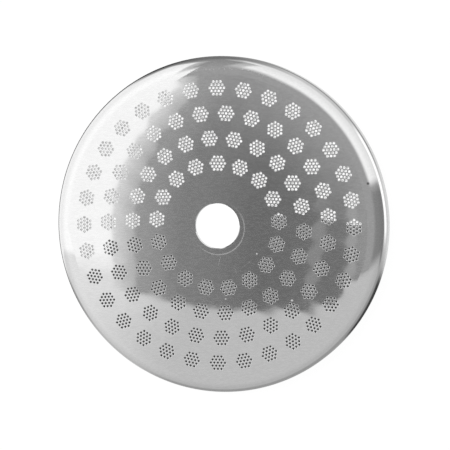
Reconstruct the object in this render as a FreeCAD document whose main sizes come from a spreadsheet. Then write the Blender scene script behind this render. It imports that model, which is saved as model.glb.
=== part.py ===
import FreeCAD, Part
import Sketcher
import math
import os

# Espresso shower screen: a pressed stainless cap, perforated in four rings of
# hexagonal clusters, with a woven membrane seated against its underside.
# The part lies on its rim, face up. The origin is on the bore axis, in the
# plane of the rim's lower edge, and +Z points out of the face.

doc = FreeCAD.newDocument("shower_screen")
sizes = doc.addObject("Spreadsheet::Sheet", "sizes")

# Driving sizes: millimetres, degrees for the turns, plain counts.
DRIVING = [
    ("outer_diameter", 56.5),
    ("cap_height", 4.8),
    ("sheet_thickness", 0.8),
    ("shoulder_radius", 2.8),
    ("rim_break", 0.12),
    ("bore_diameter", 7.5),
    ("bore_break", 0.1),
    ("bore_land", 6.7),
    ("shoulder_land", 2.49),
    ("first_ring_clusters", 17),
    ("clusters_added", 5),
    ("first_ring_turn", 4.5),
    ("second_ring_turn", -3.4),
    ("third_ring_turn", 5.0),
    ("fourth_ring_turn", -0.3),
    ("hole_pitch", 0.6),
    ("hole_diameter", 0.36),
    ("membrane_thickness", 0.36),
    ("membrane_edge_gap", 0.35),
    ("membrane_bore_gap", 0.5),
]

# Sizes that follow from the driving ones.
DERIVED = [
    ("outer_radius", "outer_diameter / 2"),
    ("inner_radius", "outer_radius - sheet_thickness"),
    ("shoulder_start", "outer_radius - shoulder_radius"),
    ("shoulder_foot", "cap_height - shoulder_radius"),
    ("inner_shoulder_radius", "shoulder_radius - sheet_thickness"),
    ("face_underside", "cap_height - sheet_thickness"),
    ("rim_outer_land", "outer_radius - rim_break"),
    ("rim_inner_land", "inner_radius + rim_break"),
    ("bore_radius", "bore_diameter / 2"),
    ("bore_mouth_radius", "bore_radius + bore_break"),
    ("bore_wall_top", "cap_height - bore_break"),
    ("bore_wall_foot", "face_underside + bore_break"),
    ("first_ring_radius", "bore_radius + bore_land"),
    ("fourth_ring_radius", "shoulder_start - shoulder_land"),
    ("ring_spacing", "(fourth_ring_radius - first_ring_radius) / 3"),
    ("second_ring_radius", "first_ring_radius + ring_spacing"),
    ("third_ring_radius", "second_ring_radius + ring_spacing"),
    ("second_ring_clusters", "first_ring_clusters + clusters_added"),
    ("third_ring_clusters", "second_ring_clusters + clusters_added"),
    ("fourth_ring_clusters", "third_ring_clusters + clusters_added"),
    ("cluster_reach", "2 * hole_pitch + hole_diameter / sqrt(3)"),
    ("membrane_radius", "shoulder_start - membrane_edge_gap"),
    ("membrane_bore_radius", "bore_radius + membrane_bore_gap"),
    ("membrane_underside", "face_underside - membrane_thickness"),
]

for row, (name, value) in enumerate(DRIVING + DERIVED, start=1):
    sizes.set(f"A{row}", name)
    sizes.set(f"B{row}", f"={value}" if isinstance(value, str) else str(value))
    sizes.setAlias(f"B{row}", name)
doc.recompute()

RINGS = ("first", "second", "third", "fourth")
CLUSTER_SIDES = 6
ORIGIN = (-1, 1)
ACROSS_AXIS = -1
START, END, CENTRE = 1, 2, 3
STRAIGHT = None


def size(name):
    """The present value of a size, for placing what its constraints then hold."""
    return float(sizes.get(name))


def new_body(name):
    """An empty body whose label is its node's name."""
    body = doc.addObject("PartDesign::Body", name)
    body.Label = name
    return body


def origin_feature(body, role):
    """One of the body's own origin planes or axes."""
    for feature in body.Origin.OriginFeatures:
        if feature.Role == role:
            return feature
    raise RuntimeError(f"{body.Label} has no {role}")


def new_sketch(body, name, plane_role):
    """A sketch on one of the body's own origin planes."""
    sketch = body.newObject("Sketcher::SketchObject", name)
    sketch.AttachmentSupport = [(origin_feature(body, plane_role), "")]
    sketch.MapMode = "FlatFace"
    return sketch


def bind(sketch, kind, places, expression, value):
    """Dimension the sketch and tie the dimension to a size."""
    index = sketch.addConstraint(Sketcher.Constraint(kind, *places, value))
    sketch.setExpression(f"Constraints[{index}]", expression)


def draw_section(sketch, corners):
    """A closed half section, drawn anticlockwise from its corners' size names.

    A corner is its radius, its height and the edge that leaves it: the radius
    of a quarter arc, or STRAIGHT. A height of None is the ground line.
    """
    places = [FreeCAD.Vector(size(across), size(up) if up else 0, 0) for across, up, _ in corners]
    ends = []
    for (_, _, arc), here, there in zip(corners, places, places[1:] + places[:1]):
        if arc:
            centre = FreeCAD.Vector(min(here.x, there.x), min(here.y, there.y), 0)
            circle = Part.Circle(centre, FreeCAD.Vector(0, 0, 1), size(arc))
            edge = sketch.addGeometry(Part.ArcOfCircle(circle, 0, math.pi / 2), False)
            bind(sketch, "Radius", (edge,), f"sizes.{arc}", size(arc))
            ends.append((edge, START, END) if here.x > there.x else (edge, END, START))
        else:
            edge = sketch.addGeometry(Part.LineSegment(here, there), False)
            ends.append((edge, START, END))
    for index, (across, up, _) in enumerate(corners):
        edge, start, end = ends[index]
        before, _, before_end = ends[index - 1]
        sketch.addConstraint(Sketcher.Constraint("Coincident", before, before_end, edge, start))
        bind(sketch, "DistanceX", (*ORIGIN, edge, start), f"sizes.{across}", size(across))
        if up:
            bind(sketch, "DistanceY", (*ORIGIN, edge, start), f"sizes.{up}", size(up))
        else:
            sketch.addConstraint(Sketcher.Constraint("PointOnObject", edge, start, ACROSS_AXIS))


def revolve(body, name, sketch):
    """Turn a half section about the bore axis."""
    solid = body.newObject("PartDesign::Revolution", name)
    solid.Profile = sketch
    solid.ReferenceAxis = (origin_feature(body, "Z_Axis"), [""])
    solid.Angle = 360
    sketch.Visibility = False
    body.Tip = solid
    doc.recompute()
    return solid


def draw_cluster(sketch, ring):
    """A cluster's outline: the hexagon that its nineteen holes touch from inside."""
    centre = FreeCAD.Vector(size(f"{ring}_ring_radius"), 0, 0)
    circle = Part.Circle(centre, FreeCAD.Vector(0, 0, 1), size("cluster_reach"))
    guide = sketch.addGeometry(circle, True)
    corners = []
    for index in range(CLUSTER_SIDES):
        angle = math.pi / 2 + index * 2 * math.pi / CLUSTER_SIDES
        arm = FreeCAD.Vector(math.cos(angle), math.sin(angle), 0)
        corners.append(centre + arm * size("cluster_reach"))
    sides = []
    for here, there in zip(corners, corners[1:] + corners[:1]):
        sides.append(sketch.addGeometry(Part.LineSegment(here, there), False))
    for before, after in zip(sides, sides[1:] + sides[:1]):
        sketch.addConstraint(Sketcher.Constraint("Coincident", before, END, after, START))
        sketch.addConstraint(Sketcher.Constraint("PointOnObject", after, START, guide))
    for side in sides[1:]:
        sketch.addConstraint(Sketcher.Constraint("Equal", sides[0], side))
    sketch.addConstraint(Sketcher.Constraint("PointOnObject", guide, CENTRE, ACROSS_AXIS))
    sketch.addConstraint(Sketcher.Constraint("Vertical", guide, CENTRE, sides[0], START))
    bind(sketch, "Radius", (guide,), "sizes.cluster_reach", size("cluster_reach"))
    bind(sketch, "DistanceX", (*ORIGIN, guide, CENTRE), f"sizes.{ring}_ring_radius", centre.x)


def perforate_ring(body, ring):
    """Cut one cluster through the face and repeat it round the bore axis."""
    before = body.Shape.Volume
    sketch = new_sketch(body, f"{ring}_cluster_sketch", "XY_Plane")
    sketch.setExpression("AttachmentOffset.Base.z", "sizes.cap_height")
    sketch.setExpression("AttachmentOffset.Rotation.Angle", f"sizes.{ring}_ring_turn * 1 deg")
    draw_cluster(sketch, ring)
    doc.recompute()
    cluster = body.newObject("PartDesign::Pocket", f"{ring}_cluster")
    cluster.Profile = sketch
    cluster.setExpression("Length", "sizes.sheet_thickness * 2")
    body.Tip = cluster
    doc.recompute()
    one_cluster = before - body.Shape.Volume
    pattern = body.newObject("PartDesign::PolarPattern", f"{ring}_ring")
    pattern.Originals = [cluster]
    pattern.Axis = (origin_feature(body, "Z_Axis"), [""])
    pattern.Angle = 360
    pattern.setExpression("Occurrences", f"sizes.{ring}_ring_clusters")
    sketch.Visibility = False
    body.Tip = pattern
    doc.recompute()
    whole_ring = before - body.Shape.Volume
    expected = one_cluster * size(f"{ring}_ring_clusters")
    if one_cluster <= 0 or abs(whole_ring - expected) > 0.001 * expected:
        raise RuntimeError(f"the {ring} ring took {whole_ring} instead of {expected}")


def make_cap():
    """The pressed cap: flat face, round shoulder, short wall, bore and clusters."""
    body = new_body("perforated_cap")
    section = new_sketch(body, "cap_section", "XZ_Plane")
    corners = [
        ("bore_mouth_radius", "face_underside", STRAIGHT),
        ("shoulder_start", "face_underside", "inner_shoulder_radius"),
        ("inner_radius", "shoulder_foot", STRAIGHT),
        ("inner_radius", "rim_break", STRAIGHT),
        ("rim_inner_land", None, STRAIGHT),
        ("rim_outer_land", None, STRAIGHT),
        ("outer_radius", "rim_break", STRAIGHT),
        ("outer_radius", "shoulder_foot", "shoulder_radius"),
        ("shoulder_start", "cap_height", STRAIGHT),
        ("bore_mouth_radius", "cap_height", STRAIGHT),
        ("bore_radius", "bore_wall_top", STRAIGHT),
        ("bore_radius", "bore_wall_foot", STRAIGHT),
    ]
    draw_section(section, corners)
    revolve(body, "pressed_cap", section)
    for ring in RINGS:
        perforate_ring(body, ring)
    return body


def make_membrane():
    """The woven membrane: a thin disc flat against the face's underside."""
    body = new_body("woven_membrane")
    section = new_sketch(body, "membrane_section", "XZ_Plane")
    corners = [
        ("membrane_bore_radius", "membrane_underside", STRAIGHT),
        ("membrane_radius", "membrane_underside", STRAIGHT),
        ("membrane_radius", "face_underside", STRAIGHT),
        ("membrane_bore_radius", "face_underside", STRAIGHT),
    ]
    draw_section(section, corners)
    revolve(body, "membrane_disc", section)
    return body


def check(pieces):
    """Stop if any object failed or any piece isn't one valid solid."""
    for item in doc.Objects:
        if "Invalid" in item.State or "Error" in item.State:
            raise RuntimeError(f"{item.Name} is {item.State}")
    for piece in pieces:
        shape = piece.Shape
        if shape.isNull() or not shape.isValid() or len(shape.Solids) != 1:
            raise RuntimeError(f"{piece.Label} isn't one valid solid")
        print(piece.Label, round(shape.Volume, 2), "mm3", shape.BoundBox)


pieces = [make_cap(), make_membrane()]
check(pieces)
os.makedirs("parts", exist_ok=True)
for piece in pieces:
    piece.Shape.exportStep(f"parts/{piece.Label}.step")
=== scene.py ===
import math
import bpy
from mathutils import Matrix, Vector


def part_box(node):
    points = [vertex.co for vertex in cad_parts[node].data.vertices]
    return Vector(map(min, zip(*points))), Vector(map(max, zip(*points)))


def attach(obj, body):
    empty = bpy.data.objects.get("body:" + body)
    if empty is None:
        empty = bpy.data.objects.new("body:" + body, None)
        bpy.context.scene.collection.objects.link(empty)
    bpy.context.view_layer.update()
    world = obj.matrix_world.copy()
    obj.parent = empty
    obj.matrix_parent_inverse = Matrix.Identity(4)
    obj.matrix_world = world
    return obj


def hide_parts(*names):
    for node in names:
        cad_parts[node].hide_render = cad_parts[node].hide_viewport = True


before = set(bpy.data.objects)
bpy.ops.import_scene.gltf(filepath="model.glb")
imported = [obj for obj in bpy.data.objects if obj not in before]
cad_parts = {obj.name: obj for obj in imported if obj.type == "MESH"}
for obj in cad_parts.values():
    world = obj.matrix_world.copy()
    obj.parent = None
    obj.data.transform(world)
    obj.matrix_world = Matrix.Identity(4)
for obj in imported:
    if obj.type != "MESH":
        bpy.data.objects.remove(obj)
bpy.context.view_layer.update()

mm = 0.001
scene = bpy.context.scene
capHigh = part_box("perforated_cap")[1]
membraneLow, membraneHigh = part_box("woven_membrane")


# small helpers for node trees

def addNode(tree, kind, inputs=None, **settings):
    node = tree.nodes.new(kind)
    for name, value in settings.items():
        setattr(node, name, value)
    for name, value in (inputs or {}).items():
        if isinstance(value, bpy.types.NodeSocket):
            tree.links.new(value, node.inputs[name])
        else:
            node.inputs[name].default_value = value
    return node


def result(tree, kind, inputs=None, **settings):
    # a new node's first output
    return addNode(tree, kind, inputs, **settings).outputs[0]


def maths(tree, operation, first, second=0.0):
    return result(tree, "ShaderNodeMath", {0: first, 1: second}, operation=operation)


def plus(tree, first, second):
    return maths(tree, "ADD", first, second)


def minus(tree, first, second):
    return maths(tree, "SUBTRACT", first, second)


def times(tree, first, second):
    return maths(tree, "MULTIPLY", first, second)


def over(tree, first, second):
    return maths(tree, "DIVIDE", first, second)


def vectorMaths(tree, operation, first, second=(0, 0, 0), output="Vector"):
    node = addNode(tree, "ShaderNodeVectorMath", {0: first, 1: second}, operation=operation)
    return node.outputs[output]


def scaled(tree, value, factor):
    return result(tree, "ShaderNodeVectorMath", {0: value, "Scale": factor}, operation="SCALE")


def lengthOf(tree, value):
    return vectorMaths(tree, "LENGTH", value, output="Value")


def vector(tree, across=0.0, along=0.0, up=0.0):
    return result(tree, "ShaderNodeCombineXYZ", {0: across, 1: along, 2: up})


def split(tree, value):
    return addNode(tree, "ShaderNodeSeparateXYZ", {0: value}).outputs


def bearingOf(tree, across, along):
    return times(tree, maths(tree, "ARCTAN2", along, across), 180 / math.pi)


def remap(tree, value, start, finish, low, high):
    inputs = {"Value": value, "From Min": start, "From Max": finish, "To Min": low, "To Max": high}
    return result(tree, "ShaderNodeMapRange", inputs, interpolation_type="SMOOTHSTEP")


def blend(tree, share, first, second):
    inputs = {"Value": share, "To Min": first, "To Max": second}
    return result(tree, "ShaderNodeMapRange", inputs)


def fadeBand(tree, value, starts, fullFrom, fullTo, stops):
    # 1 between the two middle places, fading to 0 at the outer ones
    rising = remap(tree, value, starts, fullFrom, 0.0, 1.0)
    return times(tree, rising, remap(tree, value, fullTo, stops, 1.0, 0.0))


def join(tree, parts):
    node = tree.nodes.new("GeometryNodeJoinGeometry")
    for part in reversed(parts):
        tree.links.new(part, node.inputs[0])
    return node.outputs[0]


def shift(tree, geometry, offset=(0, 0, 0), turn=(0, 0, 0)):
    inputs = {"Geometry": geometry, "Translation": offset, "Rotation": turn}
    return result(tree, "GeometryNodeTransform", inputs)


def newTree(kind, name, sockets, output, outputKind):
    tree = bpy.data.node_groups.new(name, kind)
    for label, socketKind, value in sockets:
        socket = tree.interface.new_socket(label, in_out="INPUT", socket_type=socketKind)
        socket.default_value = value
    tree.interface.new_socket(output, in_out="OUTPUT", socket_type=outputKind)
    return tree, tree.nodes.new("NodeGroupInput").outputs, tree.nodes.new("NodeGroupOutput").inputs[0]


def newShapeTree(name, sockets):
    return newTree("GeometryNodeTree", name, sockets, "Geometry", "NodeSocketGeometry")


def newShaderGroup(name, sockets, output):
    return newTree("ShaderNodeTree", name, sockets, output, "NodeSocketFloat")


def finishTree(tree, end, geometry, material, seam, crease):
    # to metres, merge seams, keep edges sharper than the crease angle, and set the material
    metres = result(tree, "GeometryNodeTransform", {"Geometry": geometry, "Scale": (mm, mm, mm)})
    plain = result(tree, "GeometryNodeRealizeInstances", {"Geometry": metres})
    merged = result(tree, "GeometryNodeMergeByDistance", {"Geometry": plain, "Distance": seam * mm})
    angle = addNode(tree, "GeometryNodeInputMeshEdgeAngle").outputs["Unsigned Angle"]
    sharp = result(tree, "FunctionNodeCompare", {0: angle, 1: math.radians(crease)}, operation="GREATER_THAN")
    smooth = result(tree, "GeometryNodeSetShadeSmooth", {"Geometry": merged, "Shade Smooth": True})
    inputs = {"Geometry": smooth, "Selection": sharp, "Shade Smooth": False}
    creased = result(tree, "GeometryNodeSetShadeSmooth", inputs, domain="EDGE")
    tree.links.new(result(tree, "GeometryNodeSetMaterial", {"Geometry": creased, "Material": material}), end)


def bakePiece(name, tree, sockets):
    # run the tree on an empty mesh and keep only the plain result
    carrier = bpy.data.objects.new(name + "Carrier", bpy.data.meshes.new(name + "Carrier"))
    scene.collection.objects.link(carrier)
    modifier = carrier.modifiers.new("nodes", "NODES")
    modifier.node_group = tree
    values = {label: value for label, kind, value in sockets}
    for socket in tree.interface.items_tree:
        if socket.item_type == "SOCKET" and socket.in_out == "INPUT":
            modifier[socket.identifier] = values[socket.name]
    depsgraph = bpy.context.evaluated_depsgraph_get()
    mesh = bpy.data.meshes.new_from_object(carrier.evaluated_get(depsgraph), depsgraph=depsgraph)
    mesh.name = name
    carrier.modifiers.remove(modifier)
    bpy.data.objects.remove(carrier)
    piece = bpy.data.objects.new(name, mesh)
    scene.collection.objects.link(piece)
    triangles = sum(len(face.vertices) - 2 for face in mesh.polygons)
    print(name, "has", triangles, "triangles")
    return piece


# a turned strip: one stretch of the lathe profile, straight or a quarter round
def buildTurnedStrip():
    sockets = [
        ("Sides", "NodeSocketInt", 64),
        ("Steps", "NodeSocketInt", 1),
        ("From Radius", "NodeSocketFloat", 1.0),
        ("From Height", "NodeSocketFloat", 0.0),
        ("To Radius", "NodeSocketFloat", 1.0),
        ("To Height", "NodeSocketFloat", 0.0),
        ("Out First", "NodeSocketFloat", 0.0),
        ("Up First", "NodeSocketFloat", 0.0),
    ]
    tree, get, end = newShapeTree("turnedStrip", sockets)
    cylinder = {"Vertices": get["Sides"], "Side Segments": get["Steps"], "Radius": 1.0, "Depth": 1.0}
    tube = result(tree, "GeometryNodeMeshCylinder", cylinder, fill_type="NONE")
    x, y, z = split(tree, result(tree, "GeometryNodeInputPosition"))
    along = minus(tree, 0.5, z)
    angle = times(tree, along, math.pi / 2)
    sineStep = minus(tree, maths(tree, "SINE", angle), along)
    cosineStep = minus(tree, minus(tree, 1.0, maths(tree, "COSINE", angle)), along)

    def ease(sineWeight, cosineWeight):
        bend = plus(tree, times(tree, sineStep, sineWeight), times(tree, cosineStep, cosineWeight))
        return plus(tree, along, bend)

    def between(start, finish, share):
        return plus(tree, start, times(tree, minus(tree, finish, start), share))

    radius = between(get["From Radius"], get["To Radius"], ease(get["Out First"], get["Up First"]))
    height = between(get["From Height"], get["To Height"], ease(get["Up First"], get["Out First"]))
    target = vector(tree, times(tree, x, radius), times(tree, y, radius), height)
    tree.links.new(result(tree, "GeometryNodeSetPosition", {"Geometry": tube, "Position": target}), end)
    return tree


def turned(tree, start, finish, sides, steps=1, outFirst=0.0, upFirst=0.0):
    # from one (radius, height) to the next
    inputs = {
        "Sides": sides, "Steps": steps, "From Radius": start[0], "From Height": start[1],
        "To Radius": finish[0], "To Height": finish[1], "Out First": outFirst, "Up First": upFirst,
    }
    return result(tree, "GeometryNodeGroup", inputs, node_tree=turnedStrip)


# the pressed cap: radii and heights in millimetres
cap = {
    "outerRadius": capHigh[0] / mm,
    "height": capHigh[2] / mm,
    "sheet": 0.8,
    "shoulder": 2.8,
    "rimBreak": 0.12,
    "boreRadius": 3.75,
    "boreBreak": 0.1,
    "collar": 0.3,          # flat ring between the perforated face and the shoulder
    "turnedSides": 240,
    "boreSides": 96,
    "shoulderSteps": 14,
    "wallSteps": 2,
    "seam": 0.001,          # points closer than this are merged
    "crease": 28,           # degrees
}

# the perforation: four rings of clusters, nineteen holes in each
perforation = {
    "ringRadii": (10.45, 14.62, 18.79, 22.96),
    "ringClusters": (17, 22, 27, 32),
    "ringTurns": (4.5, -3.4, 5.0, -0.3),       # degrees from +X
    "rowHoles": (3, 4, 5, 4, 3),
    "pitch": 0.6,
    "mouthRadius": 0.255,
    "throatRadius": 0.19,
    "mouthDepth": 0.035,
    "throatDepth": 0.25,    # below this each hole widens to its breakout
    "breakoutRadius": 0.27,
    "holeSides": 11,
}


def ringSockets():
    sockets = [("Hole Pitch", "NodeSocketFloat", perforation["pitch"])]
    rings = zip(perforation["ringRadii"], perforation["ringClusters"], perforation["ringTurns"])
    for ring, (radius, clusters, turn) in enumerate(rings, start=1):
        sockets.append((f"Ring {ring} Radius", "NodeSocketFloat", radius))
        sockets.append((f"Ring {ring} Clusters", "NodeSocketInt", clusters))
        sockets.append((f"Ring {ring} Turn", "NodeSocketFloat", math.radians(turn)))
    return sockets


# the points where the holes go: rings of clusters, each five rows of holes
def buildHolePoints():
    tree, get, end = newShapeTree("holePoints", ringSockets())
    pitch = get["Hole Pitch"]
    rowSpacing = times(tree, pitch, math.sqrt(3) / 2)
    middleRow = len(perforation["rowHoles"]) // 2
    rows = []
    for row, holes in enumerate(perforation["rowHoles"]):
        start = vector(tree, times(tree, rowSpacing, row - middleRow), times(tree, pitch, (1 - holes) / 2))
        inputs = {"Count": holes, "Start Location": start, "Offset": vector(tree, 0.0, pitch)}
        rows.append(result(tree, "GeometryNodeMeshLine", inputs))
    cluster = join(tree, rows)
    rings = []
    for ring in range(1, len(perforation["ringRadii"]) + 1):
        count = get[f"Ring {ring} Clusters"]
        circle = {"Vertices": count, "Radius": get[f"Ring {ring} Radius"]}
        places = result(tree, "GeometryNodeMeshCircle", circle)
        spin = over(tree, times(tree, result(tree, "GeometryNodeInputIndex"), 2 * math.pi), count)
        inputs = {"Points": places, "Instance": cluster, "Rotation": vector(tree, up=spin)}
        placed = result(tree, "GeometryNodeInstanceOnPoints", inputs)
        rings.append(shift(tree, placed, turn=vector(tree, up=get[f"Ring {ring} Turn"])))
    plain = result(tree, "GeometryNodeRealizeInstances", {"Geometry": join(tree, rings)})
    tree.links.new(result(tree, "GeometryNodeMeshToPoints", {"Mesh": plain}), end)
    return tree


def buildCap(material):
    sockets = [
        ("Outer Radius", "NodeSocketFloat", cap["outerRadius"]),
        ("Height", "NodeSocketFloat", cap["height"]),
        ("Sheet", "NodeSocketFloat", cap["sheet"]),
        ("Shoulder", "NodeSocketFloat", cap["shoulder"]),
        ("Rim Break", "NodeSocketFloat", cap["rimBreak"]),
        ("Bore Radius", "NodeSocketFloat", cap["boreRadius"]),
        ("Bore Break", "NodeSocketFloat", cap["boreBreak"]),
        ("Collar", "NodeSocketFloat", cap["collar"]),
        ("Turned Sides", "NodeSocketInt", cap["turnedSides"]),
        ("Bore Sides", "NodeSocketInt", cap["boreSides"]),
        ("Shoulder Steps", "NodeSocketInt", cap["shoulderSteps"]),
        ("Mouth Radius", "NodeSocketFloat", perforation["mouthRadius"]),
        ("Throat Radius", "NodeSocketFloat", perforation["throatRadius"]),
        ("Mouth Depth", "NodeSocketFloat", perforation["mouthDepth"]),
        ("Throat Depth", "NodeSocketFloat", perforation["throatDepth"]),
        ("Breakout Radius", "NodeSocketFloat", perforation["breakoutRadius"]),
        ("Hole Sides", "NodeSocketInt", perforation["holeSides"]),
    ]
    sockets += ringSockets()
    tree, get, end = newShapeTree("perforatedCap", sockets)
    outer = get["Outer Radius"]
    top = get["Height"]
    rimBreak = get["Rim Break"]
    bore = get["Bore Radius"]
    sides = get["Turned Sides"]
    boreSides = get["Bore Sides"]
    steps = get["Shoulder Steps"]
    under = minus(tree, top, get["Sheet"])
    inner = minus(tree, outer, get["Sheet"])
    shoulderStart = minus(tree, outer, get["Shoulder"])
    foot = minus(tree, top, get["Shoulder"])
    faceEdge = minus(tree, shoulderStart, get["Collar"])
    rimOuter = minus(tree, outer, rimBreak)
    rimInner = plus(tree, inner, rimBreak)
    boreMouth = plus(tree, bore, get["Bore Break"])
    boreTop = minus(tree, top, get["Bore Break"])
    boreFoot = plus(tree, under, get["Bore Break"])
    strips = [
        turned(tree, (faceEdge, top), (shoulderStart, top), sides),
        turned(tree, (shoulderStart, top), (outer, foot), sides, steps, outFirst=1.0),
        turned(tree, (outer, foot), (outer, rimBreak), sides, cap["wallSteps"]),
        turned(tree, (outer, rimBreak), (rimOuter, 0.0), sides),
        turned(tree, (rimOuter, 0.0), (rimInner, 0.0), sides),
        turned(tree, (rimInner, 0.0), (inner, rimBreak), sides),
        turned(tree, (inner, rimBreak), (inner, foot), sides, cap["wallSteps"]),
        turned(tree, (inner, foot), (shoulderStart, under), sides, steps, upFirst=1.0),
        turned(tree, (shoulderStart, under), (faceEdge, under), sides),
        turned(tree, (boreMouth, under), (bore, boreFoot), boreSides),
        turned(tree, (bore, boreFoot), (bore, boreTop), boreSides),
        turned(tree, (bore, boreTop), (boreMouth, top), boreSides),
    ]

    pointsNode = addNode(tree, "GeometryNodeGroup", node_tree=buildHolePoints())
    for socket in pointsNode.inputs:
        tree.links.new(get[socket.name], socket)
    points = pointsNode.outputs[0]

    def circle(count, radius):
        return result(tree, "GeometryNodeCurvePrimitiveCircle", {"Resolution": count, "Radius": radius})

    def pierced(holeRadius, height, faceDown):
        hole = circle(get["Hole Sides"], holeRadius)
        holes = result(tree, "GeometryNodeInstanceOnPoints", {"Points": points, "Instance": hole})
        loops = [result(tree, "GeometryNodeRealizeInstances", {"Geometry": holes})]
        loops += [circle(sides, faceEdge), circle(boreSides, boreMouth)]
        filled = result(tree, "GeometryNodeFillCurve", {"Curve": join(tree, loops)})
        if faceDown:
            filled = result(tree, "GeometryNodeFlipFaces", {"Mesh": filled})
        return shift(tree, filled, offset=vector(tree, up=height))

    # each hole's wall: a tapered mouth over a straight throat that widens to the underside
    throat = get["Throat Radius"]
    throatTop = minus(tree, top, get["Mouth Depth"])
    throatFoot = minus(tree, top, get["Throat Depth"])
    wall = join(tree, [
        turned(tree, (get["Breakout Radius"], under), (throat, throatFoot), get["Hole Sides"]),
        turned(tree, (throat, throatFoot), (throat, throatTop), get["Hole Sides"]),
        turned(tree, (throat, throatTop), (get["Mouth Radius"], top), get["Hole Sides"]),
    ])
    walls = result(tree, "GeometryNodeInstanceOnPoints", {"Points": points, "Instance": wall})
    faces = [pierced(get["Mouth Radius"], top, False), pierced(get["Breakout Radius"], under, True)]
    whole = join(tree, strips + [walls] + faces)
    finishTree(tree, end, whole, material, cap["seam"], cap["crease"])
    return bakePiece("pressedCap", tree, sockets)


# the woven wire membrane under the face, in millimetres
membrane = {
    "outerRadius": membraneHigh[0] / mm,
    "boreRadius": 4.25,
    "middle": (membraneLow[2] + membraneHigh[2]) / 2 / mm,
    "pitch": 0.42,
    "wireRadius": 0.03,
    "wireSides": 4,
    "wireEnd": 0.6,         # share of the edge band that the wires stop short by
    "edgeBand": 0.5,
    "bandHalfHeight": 0.15,
    "bandSides": 180,
    "weld": 0.002,          # wire stretches that end closer than this are joined
    "seam": 0.0005,
    "crease": 100,          # degrees
}


def buildMembrane(material):
    sockets = [
        ("Outer Radius", "NodeSocketFloat", membrane["outerRadius"]),
        ("Bore Radius", "NodeSocketFloat", membrane["boreRadius"]),
        ("Middle Height", "NodeSocketFloat", membrane["middle"]),
        ("Wire Pitch", "NodeSocketFloat", membrane["pitch"]),
        ("Wire Radius", "NodeSocketFloat", membrane["wireRadius"]),
        ("Edge Band", "NodeSocketFloat", membrane["edgeBand"]),
        ("Band Half Height", "NodeSocketFloat", membrane["bandHalfHeight"]),
    ]
    tree, get, end = newShapeTree("wovenMembrane", sockets)
    outer = get["Outer Radius"]
    bore = get["Bore Radius"]
    pitch = get["Wire Pitch"]
    wireRadius = get["Wire Radius"]
    band = get["Edge Band"]
    shortBy = times(tree, band, membrane["wireEnd"])
    crossings = int(2 * membrane["outerRadius"] / membrane["pitch"]) // 2 * 2 + 3
    span = times(tree, pitch, crossings - 1)
    inputs = {"Size X": span, "Size Y": span, "Vertices X": crossings, "Vertices Y": crossings}
    grid = result(tree, "GeometryNodeMeshGrid", inputs)
    place = result(tree, "GeometryNodeInputPosition")
    x, y, _ = split(tree, place)
    column = maths(tree, "ROUND", over(tree, x, pitch))
    row = maths(tree, "ROUND", over(tree, y, pitch))
    odd = maths(tree, "FLOORED_MODULO", plus(tree, column, row), 2.0)

    def weaveWires(turn, flip):
        # one wire stretch from a crossing to the next, rolled over at every other crossing
        cylinder = {"Vertices": membrane["wireSides"], "Radius": wireRadius, "Depth": pitch}
        tube = result(tree, "GeometryNodeMeshCylinder", cylinder, fill_type="NONE")
        lying = shift(tree, tube, turn=(0, math.pi / 2, 0))
        climb = times(tree, over(tree, x, pitch), times(tree, wireRadius, -2.0))
        bent = result(tree, "GeometryNodeSetPosition", {"Geometry": lying, "Offset": vector(tree, up=climb)})
        stretch = shift(tree, bent, offset=vector(tree, over(tree, pitch, 2.0)))
        halfAcross = times(tree, pitch, 0.5 * math.cos(turn))
        halfAlong = times(tree, pitch, 0.5 * math.sin(turn))
        centre = vectorMaths(tree, "ADD", place, vector(tree, halfAcross, halfAlong))
        reach = lengthOf(tree, centre)
        insideRim = maths(tree, "LESS_THAN", reach, minus(tree, outer, shortBy))
        outsideBore = maths(tree, "GREATER_THAN", reach, plus(tree, bore, shortBy))
        keep = maths(tree, "GREATER_THAN", times(tree, insideRim, outsideBore), 0.5)
        rolled = times(tree, maths(tree, "ABSOLUTE", minus(tree, odd, flip)), math.pi)
        inputs = {
            "Points": grid, "Selection": keep, "Instance": stretch,
            "Rotation": vector(tree, rolled, 0.0, turn),
        }
        wires = result(tree, "GeometryNodeInstanceOnPoints", inputs)
        plain = result(tree, "GeometryNodeRealizeInstances", {"Geometry": wires})
        welded = {"Geometry": plain, "Distance": membrane["weld"]}
        return result(tree, "GeometryNodeMergeByDistance", welded)

    parts = [weaveWires(0.0, 0.0), weaveWires(math.pi / 2, 1.0)]
    half = get["Band Half Height"]
    low = times(tree, half, -1.0)
    for near, far in ((bore, plus(tree, bore, band)), (minus(tree, outer, band), outer)):
        corners = [(near, half), (far, half), (far, low), (near, low)]
        for start, finish in zip(corners, corners[1:] + corners[:1]):
            parts.append(turned(tree, start, finish, membrane["bandSides"]))
    raised = shift(tree, join(tree, parts), offset=vector(tree, up=get["Middle Height"]))
    finishTree(tree, end, raised, material, membrane["seam"], membrane["crease"])
    return bakePiece("wovenMembrane", tree, sockets)


# materials

# the cap's rolled and polished steel, depths in millimetres
capFinish = {
    "color": 0.62,
    "colorSpread": 0.02,
    "roughness": (0.014, 0.026),
    "wornRoughness": 0.45,
    # painted shade of the dent: the base colour inside it
    "dentShadeColor": 0.1,
    "grainScale": (1.4, 8.0, 8.0),      # streaks a millimetre, laid along the rolling direction X
    "grainDepth": 0.000006,
    "haze": 0.8,
    "hazeRoughness": 0.4,
    "swellDepth": 0.0008,               # how far the sheet stands up round each cluster
    "swellSpread": 1.9,
    "swellGrowth": (4, 20, 0.8, 1.7),   # from and to places along X, and how much of the depth is there
    "scratchDepth": 0.002,
}
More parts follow.
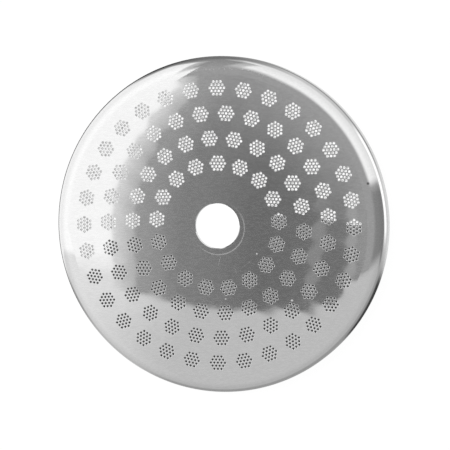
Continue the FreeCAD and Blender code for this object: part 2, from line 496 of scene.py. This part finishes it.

# wear on the cap's face, in millimetres from the bore axis: a worn ring, scratches, a dent drawn only as a
# spot of painted shade, and pits
marks = {
    "ringCentre": (0.15, -0.35),
    "ringRadius": 4.45,
    "ringEdge": (0.04, 0.16),           # off the ring, where its wear starts to fade and where it ends
    "ringWear": (-5.0, 5.0, 0.03, 0.3),  # rising from the upper left to the lower right
    "scratches": {                      # from, to, half width, wear
        "belowBore": ((0.1, -6.6), (0.5, -5.3), 0.09, 0.2),
        "rightOfBore": ((4.1, -7.0), (5.6, -5.9), 0.1, 0.14),
        "lowOfBore": ((2.9, -6.9), (3.2, -7.9), 0.1, 0.14),
        "upperRight": ((22.9, 9.6), (21.2, 13.0), 0.07, 0.2),
        "rightEdge": ((26.3, 1.2), (25.6, 3.6), 0.07, 0.3),
        "speck": ((6.65, -4.6), (6.7, -4.6), 0.12, 1.0),
        "speckLow": ((12.5, -12.3), (12.6, -12.3), 0.14, 1.0),
        "speckFaint": ((1.3, -12.2), (1.35, -12.2), 0.1, 0.8),
    },
    "scratchEdge": (0.4, 1.4),          # shares of the half width where a scratch starts to fade and ends
    "dentCentre": (25.35, 7.1),
    "dentReach": (0.12, 0.36),
    "pits": {"bearing": 80, "half": 15, "feather": 8},
    "pitRadii": (25.85, 26.0, 26.3, 26.5),
    "pitScale": (2.0, 5.0, 1.0),        # spots a degree and a millimetre
    "pitWear": (0.86, 1.0, 0.0, 0.8),   # only the highest of the grain makes a pit
}

wireFinish = {
    "color": 0.58,
    "colorSpread": 0.05,
    "roughness": (0.2, 0.34),
    "grainScale": (14.0, 14.0, 14.0),
}


def newMaterial(name):
    material = bpy.data.materials.new(name)
    material.use_nodes = True
    tree = material.node_tree
    tree.nodes.clear()
    return material, tree, tree.nodes.new("ShaderNodeOutputMaterial").inputs[0]


def placeInMm(tree):
    return scaled(tree, addNode(tree, "ShaderNodeTexCoord").outputs["Object"], 1 / mm)


# how much of a panel, a streak or the pits lies at a bearing: 1 inside, 0 past the feather
def sector(tree, bearing, panel):
    away = minus(tree, bearing, panel["bearing"])
    turnedBy = result(tree, "ShaderNodeMath", {0: away, 1: 180.0, 2: -180.0}, operation="WRAP")
    off = maths(tree, "ABSOLUTE", turnedBy)
    return remap(tree, off, panel["half"], panel["half"] + panel["feather"], 1.0, 0.0)


# fine drawn or rolled grain, used by both steels
metalGrain = {
    "detail": 2.0,
    "roughness": 0.6,
    "contrast": (0.32, 0.68),           # the noise's values that become 0 and 1
}


def buildMetalGrain():
    sockets = [("Place", "NodeSocketVector", (0, 0, 0)), ("Scale", "NodeSocketVector", (1, 1, 1))]
    tree, get, end = newShaderGroup("metalGrain", sockets, "Grain")
    stretched = vectorMaths(tree, "MULTIPLY", get["Place"], get["Scale"])
    noise = {
        "Vector": stretched, "Scale": 1.0, "Detail": metalGrain["detail"],
        "Roughness": metalGrain["roughness"],
    }
    fine = result(tree, "ShaderNodeTexNoise", noise)
    tree.links.new(remap(tree, fine, *metalGrain["contrast"], 0.0, 1.0), end)
    return tree


# how high the sheet stands round the clusters of one ring, after punching
def buildClusterSwell():
    sockets = [
        ("Place", "NodeSocketVector", (0, 0, 0)),
        ("Ring Radius", "NodeSocketFloat", 10.0),
        ("Clusters", "NodeSocketFloat", 16.0),
        ("Ring Turn", "NodeSocketFloat", 0.0),
        ("Spread", "NodeSocketFloat", capFinish["swellSpread"]),
    ]
    tree, get, end = newShaderGroup("clusterSwell", sockets, "Swell")
    x, y, _ = split(tree, get["Place"])
    angle = minus(tree, maths(tree, "ARCTAN2", y, x), get["Ring Turn"])
    wave = maths(tree, "COSINE", times(tree, angle, get["Clusters"]))
    reach = maths(tree, "SQRT", plus(tree, times(tree, x, x), times(tree, y, y)))
    out = over(tree, minus(tree, reach, get["Ring Radius"]), get["Spread"])
    near = maths(tree, "EXPONENT", times(tree, times(tree, out, out), -1.0))
    tree.links.new(times(tree, near, plus(tree, 1.0, wave)), end)
    return tree


# how much of a scratch lies at a place: 1 on the line from one end to the other, 0 off it
def buildScratch():
    sockets = [
        ("Place", "NodeSocketVector", (0, 0, 0)),
        ("From", "NodeSocketVector", (0, 0, 0)),
        ("To", "NodeSocketVector", (1, 0, 0)),
        ("Half Width", "NodeSocketFloat", 0.06),
    ]
    tree, get, end = newShaderGroup("scratch", sockets, "Mark")
    start = vectorMaths(tree, "SUBTRACT", get["Place"], get["From"])
    run = vectorMaths(tree, "SUBTRACT", get["To"], get["From"])
    covered = vectorMaths(tree, "DOT_PRODUCT", start, run, "Value")
    along = over(tree, covered, vectorMaths(tree, "DOT_PRODUCT", run, run, "Value"))
    nearest = scaled(tree, run, result(tree, "ShaderNodeClamp", {"Value": along}))
    off = lengthOf(tree, vectorMaths(tree, "SUBTRACT", start, nearest))
    tree.links.new(remap(tree, over(tree, off, get["Half Width"]), *marks["scratchEdge"], 1.0, 0.0), end)
    return tree


def wornRing(tree, place):
    # the screw head's bearing mark, strongest at the lower right
    away = vectorMaths(tree, "SUBTRACT", place, (*marks["ringCentre"], cap["height"]))
    x, y, _ = split(tree, away)
    off = maths(tree, "ABSOLUTE", minus(tree, lengthOf(tree, away), marks["ringRadius"]))
    wear = remap(tree, minus(tree, x, y), *marks["ringWear"])
    return times(tree, remap(tree, off, *marks["ringEdge"], 1.0, 0.0), wear)


def shoulderPits(tree, place, grainGroup):
    # fine scattered pits where the shoulder starts, near +Y
    x, y, _ = split(tree, place)
    reach = lengthOf(tree, vector(tree, x, y))
    bearing = bearingOf(tree, x, y)
    inputs = {"Place": vector(tree, bearing, reach), "Scale": marks["pitScale"]}
    spots = result(tree, "ShaderNodeGroup", inputs, node_tree=grainGroup)
    pits = times(tree, fadeBand(tree, reach, *marks["pitRadii"]), remap(tree, spots, *marks["pitWear"]))
    return times(tree, pits, sector(tree, bearing, marks["pits"]))


def capWear(tree, place, grainGroup, scratchGroup):
    worn = wornRing(tree, place)
    for start, finish, half, wear in marks["scratches"].values():
        inputs = {
            "Place": place, "From": (*start, cap["height"]), "To": (*finish, cap["height"]),
            "Half Width": half,
        }
        scratch = result(tree, "ShaderNodeGroup", inputs, node_tree=scratchGroup)
        worn = maths(tree, "MAXIMUM", worn, times(tree, scratch, wear))
    return maths(tree, "MAXIMUM", worn, shoulderPits(tree, place, grainGroup))


def capSwell(tree, place, swellGroup):
    swell = 0.0
    for ring, radius in enumerate(perforation["ringRadii"]):
        inputs = {
            "Place": place, "Ring Radius": radius, "Clusters": perforation["ringClusters"][ring],
            "Ring Turn": math.radians(perforation["ringTurns"][ring]), "Spread": capFinish["swellSpread"],
        }
        swell = plus(tree, result(tree, "ShaderNodeGroup", inputs, node_tree=swellGroup), swell)
    return times(tree, swell, remap(tree, split(tree, place)[0], *capFinish["swellGrowth"]))


def makeCapSteel(grainGroup, swellGroup, scratchGroup):
    material, tree, surface = newMaterial("polishedStainless")
    place = placeInMm(tree)
    inputs = {"Place": place, "Scale": capFinish["grainScale"]}
    grain = result(tree, "ShaderNodeGroup", inputs, node_tree=grainGroup)
    worn = capWear(tree, place, grainGroup, scratchGroup)
    # the dent has no relief: round dentCentre the base colour darkens to painted shade
    toDent = vectorMaths(tree, "DISTANCE", place, (*marks["dentCentre"], cap["height"]), "Value")
    dentShade = remap(tree, toDent, *marks["dentReach"], 1.0, 0.0)
    reliefs = [
        (capSwell(tree, place, swellGroup), capFinish["swellDepth"]),
        (grain, capFinish["grainDepth"]),
        (worn, capFinish["scratchDepth"]),
    ]
    normal = None
    for height, depth in reliefs:
        bump = {"Height": height, "Strength": 1.0, "Distance": depth * mm}
        if normal is not None:
            bump["Normal"] = normal
        normal = result(tree, "ShaderNodeBump", bump)
    middle = capFinish["color"]
    spread = capFinish["colorSpread"]
    rolled = remap(tree, grain, 0.0, 1.0, middle - spread, middle + spread)
    polished = remap(tree, grain, 0.0, 1.0, *capFinish["roughness"])
    shader = addNode(tree, "ShaderNodeBsdfPrincipled", {
        "Metallic": 1.0,
        "Base Color": blend(tree, dentShade, rolled, capFinish["dentShadeColor"]),
        "Roughness": blend(tree, worn, polished, capFinish["wornRoughness"]),
        "Coat Weight": times(tree, grain, capFinish["haze"]),
        "Coat Roughness": capFinish["hazeRoughness"],
        "Normal": normal,
    })
    tree.links.new(shader.outputs[0], surface)
    return material


def makeWireSteel(grainGroup):
    material, tree, surface = newMaterial("drawnWire")
    inputs = {"Place": placeInMm(tree), "Scale": wireFinish["grainScale"]}
    grain = result(tree, "ShaderNodeGroup", inputs, node_tree=grainGroup)
    middle = wireFinish["color"]
    spread = wireFinish["colorSpread"]
    shader = addNode(tree, "ShaderNodeBsdfPrincipled", {
        "Metallic": 1.0,
        "Base Color": remap(tree, grain, 0.0, 1.0, middle - spread, middle + spread),
        "Roughness": remap(tree, grain, 0.0, 1.0, *wireFinish["roughness"]),
    })
    tree.links.new(shader.outputs[0], surface)
    return material


# camera, floor and light

# the camera as it stood in the photograph, in millimetres from the bore axis
camera = {
    "place": (73.8, 23.5, 342.2),
    "look": (-0.2096, -0.0675, -0.9755),
    "up": (-0.0052, 0.9977, -0.0679),
    "focalPixels": 2078,
    "framePixels": 450,
    "sensor": 36.0,
    "clipStart": 10,
}


def makeCamera():
    data = bpy.data.cameras.new("camera")
    data.sensor_width = camera["sensor"]
    data.lens = camera["focalPixels"] / camera["framePixels"] * camera["sensor"]
    data.clip_start = camera["clipStart"] * mm
    holder = bpy.data.objects.new("camera", data)
    look = Vector(camera["look"]).normalized()
    side = look.cross(Vector(camera["up"])).normalized()
    up = side.cross(look)
    turn = Matrix((side, up, -look)).transposed().to_4x4()
    holder.matrix_world = Matrix.Translation(Vector(camera["place"]) * mm) @ turn
    scene.collection.objects.link(holder)
    scene.camera = holder
    print("camera at", [round(value, 4) for value in holder.location])


# what the polished steel sees round it: bearings and half widths in degrees from +X, tones where 1 is white
studio = {
    "plain": 0.55,
    "walls": 0.79,
    "wallPanels": {
        "lowerLeft": {"bearing": 196, "half": 0, "feather": 60, "tone": 1.18},
        "leftWall": {"bearing": 150, "half": 39.5, "feather": 3, "tone": 1.56},
        "rightGap": {"bearing": 359, "half": 11, "feather": 8, "tone": 0.34},
        "rightBox": {"bearing": 50.5, "half": 33, "feather": 4, "tone": 1.4},
        "topGap": {"bearing": 98, "half": 5, "feather": 4, "tone": 0.46},
    },
    "horizonDim": (50, 96, 1.0, 0.86),  # tilts from the zenith, and how much of its tone a wall keeps
    # the floor as the steel mirrors it: painted pools of light and shade, seen only in reflections
    "floor": 0.44,
    "floorPanels": {
        "leftFloor": {"bearing": 160, "half": 30, "feather": 16, "tone": 1.35},
        "lowerLeftFloor": {"bearing": 230, "half": 6, "feather": 16, "tone": 0.68},
        "rightFloor": {"bearing": 28, "half": 34, "feather": 16, "tone": 0.84},
        "topShade": {"bearing": 100, "half": 12, "feather": 14, "tone": 0.24},
    },
    "sweep": (3.5, 18.0),               # millimetres out from the cap where the floor turns into the walls
    # the streaks are painted shadows and a painted highlight: a contact shadow, a glint, a shadow line along
    # the wall and a low shade
    "floorStreaks": {                   # reach: millimetres out from the cap, fading in and out
        "contactShadow": {"bearing": 155, "half": 45, "feather": 15, "tone": 0.05, "reach": (-1.0, 0.0, 2.0, 4.6)},
        "paintedGlint": {"bearing": 15, "half": 15, "feather": 10, "tone": 1.7, "reach": (2.2, 3.4, 8.0, 11.0)},
        "seam": {"bearing": 54, "half": 26, "feather": 14, "tone": 0.36, "reach": (0.5, 0.8, 1.8, 2.4)},
        "lowShade": {"bearing": 330, "half": 8, "feather": 8, "tone": 0.06, "reach": (-1.0, 0.0, 1.6, 4.4)},
    },
    "overheadEdge": (20, 46),           # tilts from the zenith over which the walls take over
    "topSlant": {"bearing": 92, "half": 6, "feather": 22, "delay": 14},  # there they do so this much later
}

# the floor that the camera sees
paleFloor = {
    "half": 3.0,                        # metres
    "drop": 0.02,                       # millimetres under the rim
    "color": 0.8,
    "glow": 1.1,
    "glowShare": 0.85,                  # the rest keeps the object's shadow
}


def panelTones(tree, bearing, plain, panels):
    tone = plain
    for panel in panels.values():
        tone = blend(tree, sector(tree, bearing, panel), tone, panel["tone"])
    return tone


def paintedFloorReflection(tree, place):
    # painted reflection on the floor, seen only by glossy rays: painted light and shade panels near the cap,
    # walls further out, and painted shadow and highlight streaks
    x, y, _ = split(tree, place)
    bearing = bearingOf(tree, x, y)
    near = panelTones(tree, bearing, studio["floor"], studio["floorPanels"])
    out = minus(tree, lengthOf(tree, place), cap["outerRadius"])
    walls = panelTones(tree, bearing, studio["walls"], studio["wallPanels"])
    farWalls = times(tree, walls, studio["horizonDim"][3])
    tone = blend(tree, remap(tree, out, *studio["sweep"], 0.0, 1.0), near, farWalls)
    for streak in studio["floorStreaks"].values():
        share = times(tree, fadeBand(tree, out, *streak["reach"]), sector(tree, bearing, streak))
        tone = blend(tree, share, tone, streak["tone"])
    return tone


def makeFloor():
    half = paleFloor["half"]
    level = -paleFloor["drop"] * mm
    mesh = bpy.data.meshes.new("floor")
    corners = [(-half, -half, level), (half, -half, level), (half, half, level), (-half, half, level)]
    mesh.from_pydata(corners, [], [(0, 1, 2, 3)])
    floor = bpy.data.objects.new("floor", mesh)
    scene.collection.objects.link(floor)
    material, tree, surface = newMaterial("paleFloor")
    color = paleFloor["color"]
    diffuse = result(tree, "ShaderNodeBsdfDiffuse", {"Color": (color, color, color, 1)})
    seenGlow = result(tree, "ShaderNodeEmission", {"Strength": paleFloor["glow"]})
    # glossy rays see the floor's painted reflection instead of the plain floor
    paintedReflectionGlow = result(tree, "ShaderNodeEmission", {"Strength": paintedFloorReflection(tree, placeInMm(tree))})
    rays = addNode(tree, "ShaderNodeLightPath").outputs
    seen = times(tree, rays["Is Camera Ray"], paleFloor["glowShare"])
    forCamera = result(tree, "ShaderNodeMixShader", {0: seen, 1: diffuse, 2: seenGlow})
    mirrored = maths(tree, "MAXIMUM", rays["Is Glossy Ray"], rays["Is Transmission Ray"])
    whole = result(tree, "ShaderNodeMixShader", {0: mirrored, 1: forCamera, 2: paintedReflectionGlow})
    tree.links.new(whole, surface)
    material.cycles.emission_sampling = "NONE"
    mesh.materials.append(material)


# glowing sheets under the cap, seen only through its holes, that paint light, half shade and shade there, in
# millimetres and degrees
pads = {
    "reach": 27.0,
    "arcPoints": 48,
    "litPad": {"tone": 1.05, "height": 0.05},
    "halfShadePad": {"tone": 0.76, "height": 0.08},
    "shadePad": {"tone": 0.06, "height": 0.1},
    "halfShadeArc": (104, 198),
    "halfShadeEdge": ((-19.4, -7.4), (-19.4, -1.6), (-18.8, 2.4), (-16, 9), (-12.6, 16), (-7.6, 24)),
    "shadeArc": (-163, 0),
    "shadeEdgeRight": ((22, -0.1), (13.4, 1.7)),
    "notchCentre": (-0.8, -0.25),       # so that none of it shows in the bore
    "notchRadius": 7.0,
    "notchArc": (12, -184),
    "shadeEdgeLeft": ((-16, -1.6), (-19.9, -2.0), (-20.5, -7.2)),
}


def arc(centre, radius, first, last):
    points = []
    for step in range(pads["arcPoints"] + 1):
        turn = math.radians(first + (last - first) * step / pads["arcPoints"])
        points.append((centre[0] + radius * math.cos(turn), centre[1] + radius * math.sin(turn)))
    return points


def makePad(name, outline):
    mesh = bpy.data.meshes.new(name)
    height = pads[name]["height"] * mm
    mesh.from_pydata([(x * mm, y * mm, height) for x, y in outline], [], [list(range(len(outline)))])
    pad = bpy.data.objects.new(name, mesh)
    scene.collection.objects.link(pad)
    material, tree, surface = newMaterial(name + "PaintedLight")
    # the sheet glows with its tone: painted light for the lit one, painted shade for the grey and the shaded
    # one
    glow = result(tree, "ShaderNodeEmission", {"Color": (1, 1, 1, 1), "Strength": pads[name]["tone"]})
    tree.links.new(glow, surface)
    material.cycles.emission_sampling = "NONE"
    mesh.materials.append(material)


def makePads():
    makePad("litPad", arc((0, 0), pads["reach"], 0, 360)[:-1])
    shade = arc((0, 0), pads["reach"], *pads["shadeArc"]) + list(pads["shadeEdgeRight"])
    shade += arc(pads["notchCentre"], pads["notchRadius"], *pads["notchArc"])
    makePad("shadePad", shade + list(pads["shadeEdgeLeft"]))
    makePad("halfShadePad", arc((0, 0), pads["reach"], *pads["halfShadeArc"]) + list(pads["halfShadeEdge"]))


# the dark opening overhead, in millimetres on the cap's face where the photograph shows it reflected
opening = {
    "left": (-18.5, -17.7),
    "leftBow": 0.0215,
    "leftReach": 23.2,
    "leftFall": 0.2,
    "bottom": (-14.7, -13.6),
    "bottomMiddle": 7,
    "bottomBow": 0.0061,
    "bottomStep": (19.8, 22.2, 0.0, 3.6),
    "bottomReach": 26,
    "bottomFall": 0.3,
    "paleTone": 1.48,
    "paleBottom": (-8.5, -4.5),
    "darkTones": (1.0, 0.74, 0.47, 0.31, 0.22, 0.24, 0.42),
    "darkPlaces": (-17.7, -14.8, -13.8, -5, 8, 21, 25),
    "hazeTone": 0.5,
    "hazeSpan": (15, 39),
    "strips": {                         # paler strips in the dark, their middles at along = 0
        "inner": {"middle": 17.4, "slant": 0.17, "half": 0.8, "feather": 0.5, "span": (-12, 4), "tone": 0.38},
        "outer": {"middle": 22.7, "slant": 0.03, "half": 0.5, "feather": 0.7, "span": (-11, 6), "tone": 0.52},
    },
    "stripEnd": 1.5,                    # half the length over which a strip ends
    "lowestRise": 0.02,                 # flatter rays than this are taken as this flat
}


def darkTones(tree, across, along, bowedAcross):
    # tones across the opening, haze towards its upper right, and the strips
    tones = opening["darkTones"]
    places = opening["darkPlaces"]
    dark = tones[0]
    for index in range(1, len(tones)):
        share = remap(tree, bowedAcross, places[index - 1], places[index], 0.0, 1.0)
        dark = blend(tree, share, dark, tones[index])
    haze = remap(tree, plus(tree, across, along), *opening["hazeSpan"], 0.0, 1.0)
    dark = blend(tree, haze, dark, opening["hazeTone"])
    end = opening["stripEnd"]
    for strip in opening["strips"].values():
        middle = plus(tree, times(tree, along, strip["slant"]), strip["middle"])
        off = maths(tree, "ABSOLUTE", minus(tree, across, middle))
        share = remap(tree, off, strip["half"], strip["half"] + strip["feather"], 1.0, 0.0)
        for place, low, high in zip(strip["span"], (0.0, 1.0), (1.0, 0.0)):
            share = times(tree, share, remap(tree, along, place - end, place + end, low, high))
        dark = blend(tree, share, dark, strip["tone"])
    return dark


def overheadTones(tree, across, along, walls):
    # the opening's bowed left and lower edges, and the pale ceiling outside them
    high = result(tree, "ShaderNodeClamp", {"Value": along, "Min": 0.0, "Max": opening["leftReach"]})
    reach = opening["bottomReach"]
    wide = result(tree, "ShaderNodeClamp", {"Value": across, "Min": -reach, "Max": reach})
    rightward = minus(tree, across, wide)
    upward = minus(tree, maths(tree, "MAXIMUM", along, 0.0), high)
    leftBow = times(tree, times(tree, high, high), opening["leftBow"])
    bowedAcross = minus(tree, across, leftBow)
    bowedAcross = plus(tree, bowedAcross, times(tree, upward, opening["leftFall"]))
    fromMiddle = minus(tree, wide, opening["bottomMiddle"])
    bottomBow = times(tree, times(tree, fromMiddle, fromMiddle), opening["bottomBow"])
    bottomBow = plus(tree, bottomBow, remap(tree, wide, *opening["bottomStep"]))
    bowedAlong = minus(tree, along, bottomBow)
    bowedAlong = plus(tree, bowedAlong, times(tree, rightward, opening["bottomFall"]))
    pale = blend(tree, remap(tree, along, *opening["paleBottom"], 0.0, 1.0), walls, opening["paleTone"])
    dark = darkTones(tree, across, along, bowedAcross)
    pastLeft = remap(tree, bowedAcross, *opening["left"], 0.0, 1.0)
    inside = times(tree, pastLeft, remap(tree, bowedAlong, *opening["bottom"], 0.0, 1.0))
    return blend(tree, inside, pale, dark)


def makeWorld():
    world = bpy.data.worlds.new("studio")
    world.use_nodes = True
    scene.world = world
    world.cycles.sampling_method = "NONE"
    tree = world.node_tree
    back = tree.nodes["Background"].inputs
    x, y, z = split(tree, addNode(tree, "ShaderNodeTexCoord").outputs["Generated"])
    tilt = times(tree, maths(tree, "ARCCOSINE", z), 180 / math.pi)
    rise = maths(tree, "MAXIMUM", z, opening["lowestRise"])
    height = camera["place"][2] - cap["height"]
    across = plus(tree, times(tree, over(tree, x, rise), height), camera["place"][0])
    along = plus(tree, times(tree, over(tree, y, rise), height), camera["place"][1])
    bearing = bearingOf(tree, across, along)
    walls = panelTones(tree, bearing, studio["walls"], studio["wallPanels"])
    walls = times(tree, walls, remap(tree, tilt, *studio["horizonDim"]))
    overhead = overheadTones(tree, across, along, walls)
    slant = studio["topSlant"]
    delay = times(tree, sector(tree, bearing, slant), slant["delay"])
    wallShare = remap(tree, minus(tree, tilt, delay), *studio["overheadEdge"], 0.0, 1.0)
    mirrored = blend(tree, wallShare, overhead, walls)

    rays = addNode(tree, "ShaderNodeLightPath").outputs
    glossy = maths(tree, "MAXIMUM", rays["Is Glossy Ray"], rays["Is Transmission Ray"])
    seen = blend(tree, rays["Is Camera Ray"], studio["plain"], 1.0)
    tree.links.new(blend(tree, glossy, seen, mirrored), back["Strength"])
    back["Color"].default_value = (1, 1, 1, 1)


# the lamp, in metres and watts, aimed at the bore
mainBox = {
    "place": (-0.5, 0.35, 0.9),
    "side": 0.5,
    "power": 3,
}


def makeSoftbox():
    data = bpy.data.lights.new("mainBox", "AREA")
    data.shape = "SQUARE"
    data.size = mainBox["side"]
    data.energy = mainBox["power"]
    lamp = bpy.data.objects.new("mainBox", data)
    lamp.location = mainBox["place"]
    lamp.rotation_euler = (-Vector(mainBox["place"])).to_track_quat("-Z", "Y").to_euler()
    lamp.visible_glossy = False         # the panels stand for it in reflections
    scene.collection.objects.link(lamp)


makeCamera()
scene.view_settings.view_transform = "Standard"
makeFloor()
makePads()
makeWorld()
makeSoftbox()
print("stage is set")

grainGroup = buildMetalGrain()
capSteel = makeCapSteel(grainGroup, buildClusterSwell(), buildScratch())
wireSteel = makeWireSteel(grainGroup)
print("steels are made")

turnedStrip = buildTurnedStrip()
capPiece = buildCap(capSteel)
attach(capPiece, "root")
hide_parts("perforated_cap")
membranePiece = buildMembrane(wireSteel)
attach(membranePiece, "root")
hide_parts("woven_membrane")
print("pieces are made")
